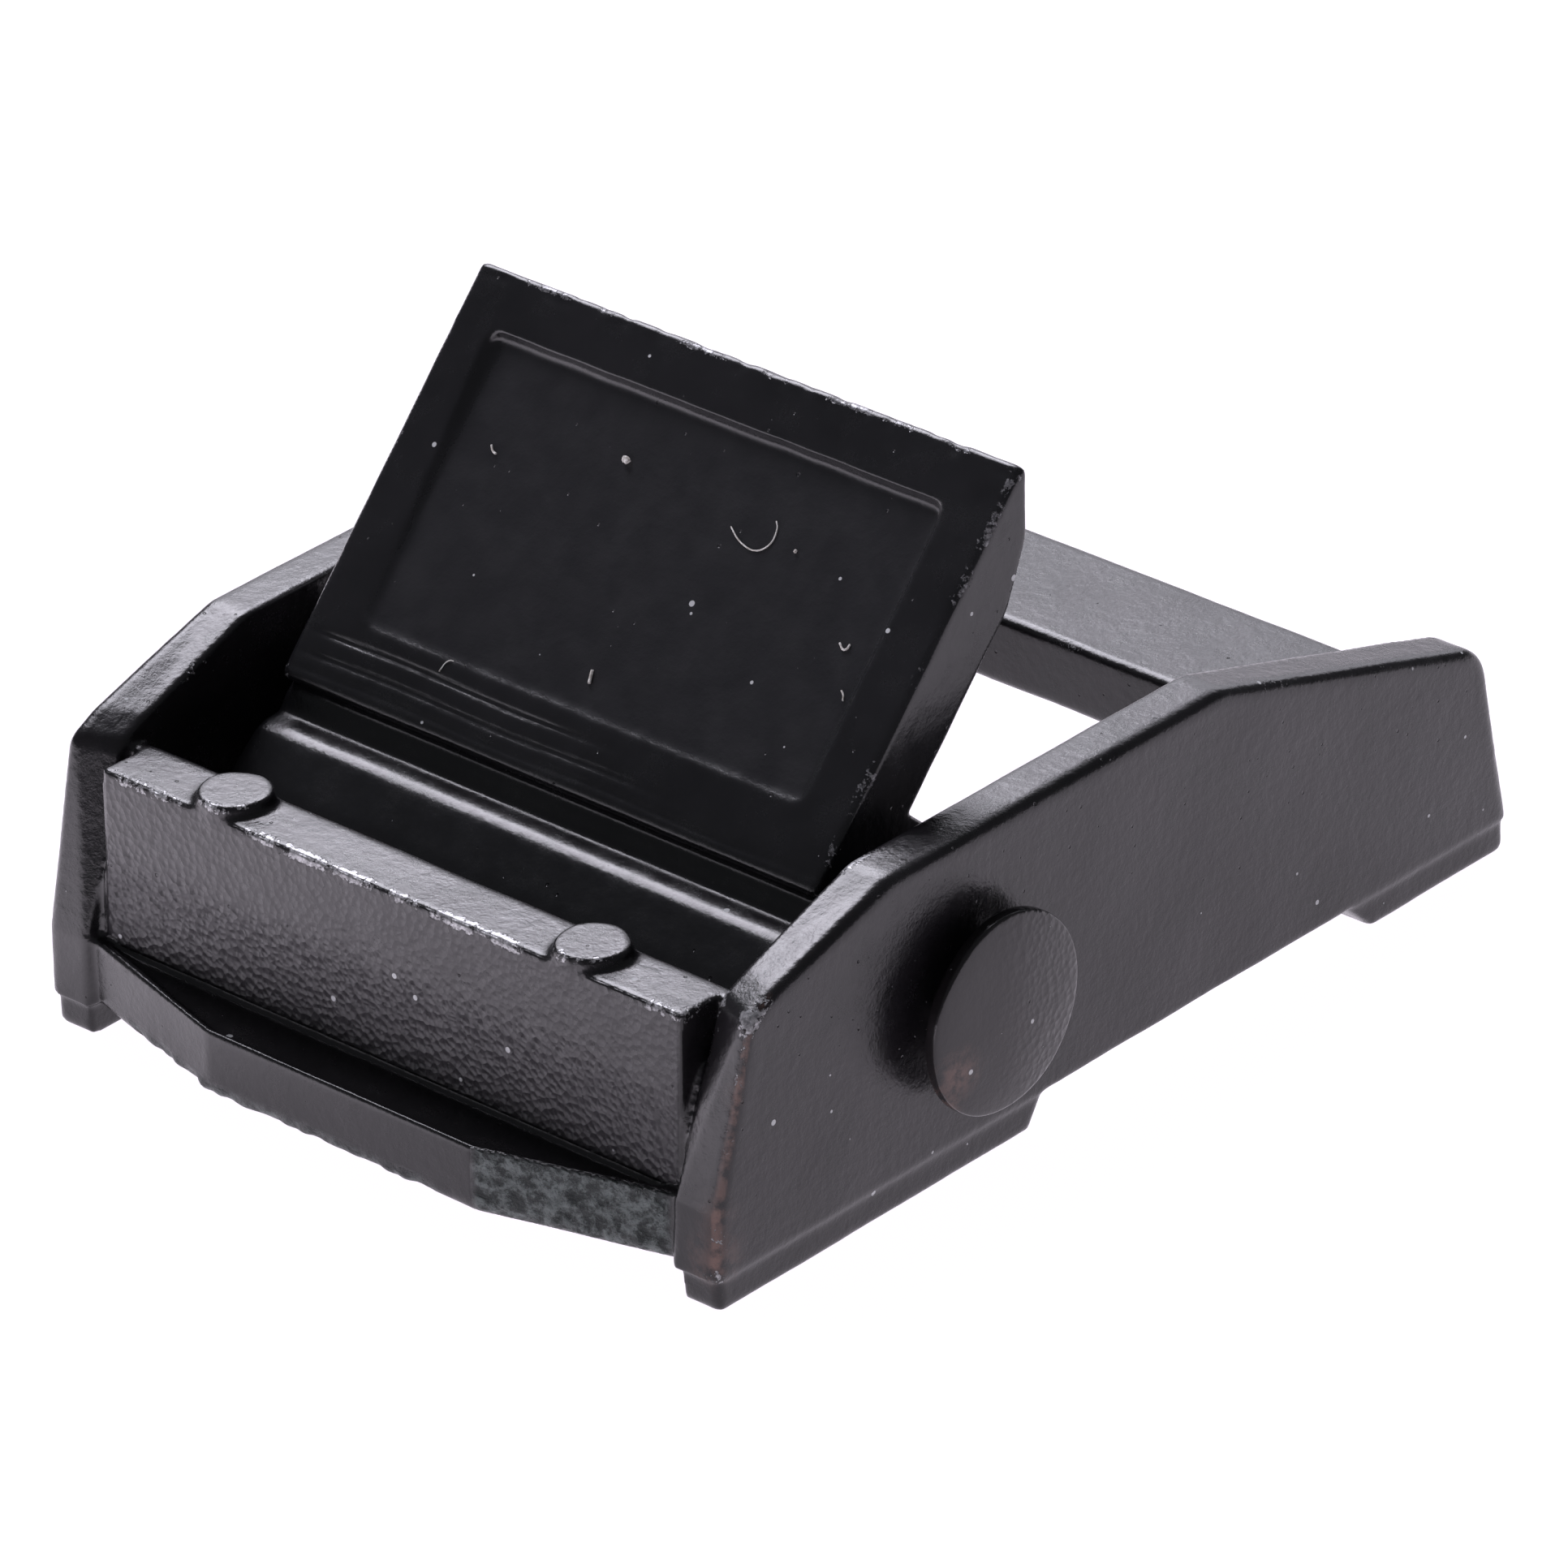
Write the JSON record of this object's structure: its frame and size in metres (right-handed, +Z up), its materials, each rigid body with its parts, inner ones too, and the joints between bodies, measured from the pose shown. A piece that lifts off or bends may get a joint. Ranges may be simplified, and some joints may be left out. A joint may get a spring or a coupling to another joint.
{
  "type": "cam buckle",
  "caption": "Black lacquered cam buckle for one-inch webbing: cast frame, spring-loaded thumb lever with a toothed cam on a rivet, bar for a sewn strap.",
  "frame": {"origin": "middle of the buckle on the surface it stands on, under the middle of its bounding box", "axes": "+X across the webbing along the rivet towards its head, +Y along the webbing towards the bar for the sewn strap, +Z up"},
  "size_m": [0.0362, 0.0454, 0.0237],
  "materials": {
    "frame_lacquer": "semi-gloss black lacquer over zinc casting, worn on the front bar's edge",
    "lever_lacquer": "semi-gloss black lacquer over zinc casting, worn on the plate's edges",
    "rivet_lacquer": "glossy black lacquer over steel",
    "spring_steel": "bright drawn wire"
  },
  "bodies": {
    "frame": {"frame": "frame_lacquer", "rivet": "rivet_lacquer", "spring": "spring_steel"},
    "lever": {"lever": "lever_lacquer"}
  },
  "joints": [
    {"name": "lever_pivot", "type": "hinge", "parent": "frame", "child": "lever", "pos_m": [0, -0.00735, 0.00685], "axis": [1, 0, 0], "range_deg": [-40, 0], "stiffness_Nm_per_rad": 0.12, "springref_deg": 34.38, "deforming": ["spring"]}
  ]
}
